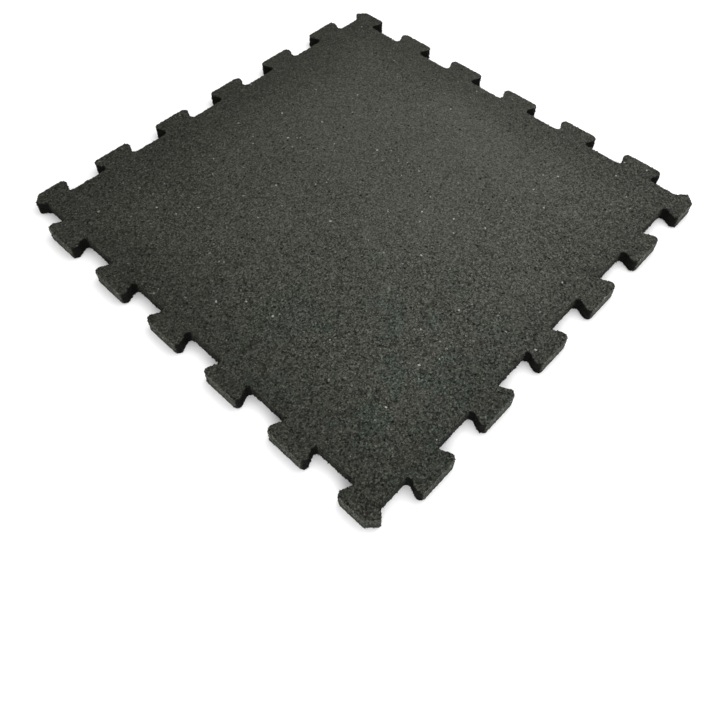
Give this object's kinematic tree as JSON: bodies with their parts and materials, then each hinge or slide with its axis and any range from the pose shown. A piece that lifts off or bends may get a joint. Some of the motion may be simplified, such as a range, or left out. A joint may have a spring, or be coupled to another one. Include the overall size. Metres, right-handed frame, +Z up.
{
  "type": "interlocking floor tile",
  "caption": "Square rubber gym floor tile with dovetail tabs and notches along all four sides, which lock it to like tiles.",
  "frame": {"origin": "middle of the underside", "axes": "+Z up, out of the wear face; X and Y along the tile's sides. Seen from above, each side starts with its corner tab when the edge is followed clockwise."},
  "size_m": [0.6346, 0.6346, 0.02],
  "materials": {
    "crumb_rubber": "matte, pressed crumb rubber of fine granules"
  },
  "bodies": {
    "root": {"rubber_tile": "crumb_rubber"}
  },
  "joints": []
}
